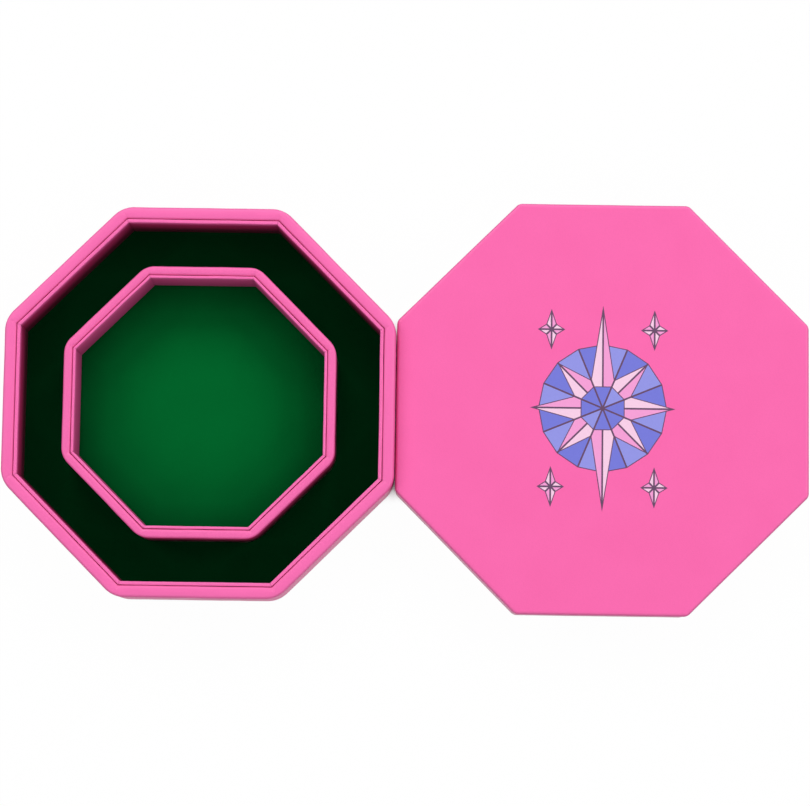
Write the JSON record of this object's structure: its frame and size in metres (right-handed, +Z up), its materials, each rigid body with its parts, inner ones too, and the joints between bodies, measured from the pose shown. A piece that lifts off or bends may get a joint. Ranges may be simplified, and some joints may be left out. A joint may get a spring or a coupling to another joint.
{
  "type": "octagonal dice box",
  "caption": "Octagonal covered-board dice box: a felted rolling tray inside a ring wall with a storage channel round it, and a lift-off lid that lies beside it.",
  "frame": {"origin": "centre of the tray's flat underside, on the table", "axes": "+Z up; +X from the tray's centre towards the lid that lies beside it"},
  "size_m": [0.4128, 0.2118, 0.034],
  "materials": {
    "tray_leatherette": "pink leatherette, satin, on the tray's and the ring's rims and outer faces",
    "liner_leatherette": "deeper pink leatherette on the inside panels",
    "lid_leatherette": "smooth bright pink leatherette, with a printed ornament in the middle",
    "green_felt": "short-pile dark green velvet",
    "lid_lining": "the same dark green velvet inside the lid, a guess",
    "greyboard": "bare grey box board, hidden by the leatherette"
  },
  "bodies": {
    "tray": {"base_cover": "tray_leatherette", "base_filler": "greyboard", "base_board": "greyboard", "tray_wrap": "tray_leatherette", "tray_wall_board_1": "greyboard", "tray_wall_board_2": "greyboard", "tray_wall_board_3": "greyboard", "tray_wall_board_4": "greyboard", "tray_wall_board_5": "greyboard", "tray_wall_board_6": "greyboard", "tray_wall_board_7": "greyboard", "tray_wall_board_8": "greyboard", "tray_liner_1": "liner_leatherette", "tray_liner_2": "liner_leatherette", "tray_liner_3": "liner_leatherette", "tray_liner_4": "liner_leatherette", "tray_liner_5": "liner_leatherette", "tray_liner_6": "liner_leatherette", "tray_liner_7": "liner_leatherette", "tray_liner_8": "liner_leatherette", "ring_wrap": "tray_leatherette", "ring_board_1": "greyboard", "ring_board_2": "greyboard", "ring_board_3": "greyboard", "ring_board_4": "greyboard", "ring_board_5": "greyboard", "ring_board_6": "greyboard", "ring_board_7": "greyboard", "ring_board_8": "greyboard", "ring_liner_1": "liner_leatherette", "ring_liner_2": "liner_leatherette", "ring_liner_3": "liner_leatherette", "ring_liner_4": "liner_leatherette", "ring_liner_5": "liner_leatherette", "ring_liner_6": "liner_leatherette", "ring_liner_7": "liner_leatherette", "ring_liner_8": "liner_leatherette", "rolling_felt": "green_felt", "channel_felt": "green_felt"},
    "lid": {"lid_top_cover": "lid_leatherette", "lid_top_board": "greyboard", "lid_lining": "lid_lining", "lid_skirt_wrap": "lid_leatherette", "lid_skirt_board_1": "greyboard", "lid_skirt_board_2": "greyboard", "lid_skirt_board_3": "greyboard", "lid_skirt_board_4": "greyboard", "lid_skirt_board_5": "greyboard", "lid_skirt_board_6": "greyboard", "lid_skirt_board_7": "greyboard", "lid_skirt_board_8": "greyboard"}
  },
  "joints": [
    {"name": "lid_lift", "type": "slide", "parent": "tray", "child": "lid", "axis": [0, 0, 1], "range_m": [0, 0.1]}
  ]
}
